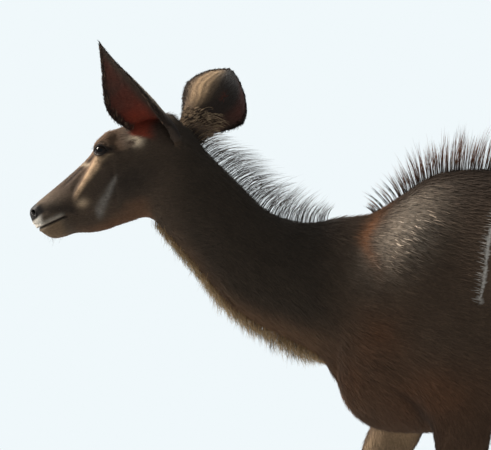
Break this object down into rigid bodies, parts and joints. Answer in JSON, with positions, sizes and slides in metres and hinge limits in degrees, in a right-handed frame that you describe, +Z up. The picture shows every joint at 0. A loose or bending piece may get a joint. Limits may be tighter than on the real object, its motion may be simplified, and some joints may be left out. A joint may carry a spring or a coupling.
{
  "type": "greater kudu",
  "caption": "Life-size still model of a hornless greater kudu cow, standing in a slow step with her neck stretched forward and her large ears spread.",
  "frame": {"origin": "on the floor, under the middle of the model's outline", "axes": "+Z up; the animal looks along -X; its left side faces -Y"},
  "size_m": [1.979, 0.394, 1.516],
  "materials": {
    "coat": "short grey-brown hair",
    "horn": "dark hoof horn, satin",
    "eye": "wet, glossy"
  },
  "bodies": {
    "root": {"torso": "coat", "neck": "coat", "head": "coat", "eye_left": "eye", "eye_right": "eye", "ear_left": "coat", "ear_right": "coat", "tail": "coat", "foreleg_left": "coat", "forehoof_left_near": "horn", "foredewclaw_left_near": "horn", "forehoof_left_off": "horn", "foredewclaw_left_off": "horn", "foreleg_right": "coat", "forehoof_right_near": "horn", "foredewclaw_right_near": "horn", "forehoof_right_off": "horn", "foredewclaw_right_off": "horn", "hindleg_left": "coat", "hindhoof_left_near": "horn", "hinddewclaw_left_near": "horn", "hindhoof_left_off": "horn", "hinddewclaw_left_off": "horn", "hindleg_right": "coat", "hindhoof_right_near": "horn", "hinddewclaw_right_near": "horn", "hindhoof_right_off": "horn", "hinddewclaw_right_off": "horn"}
  },
  "joints": []
}
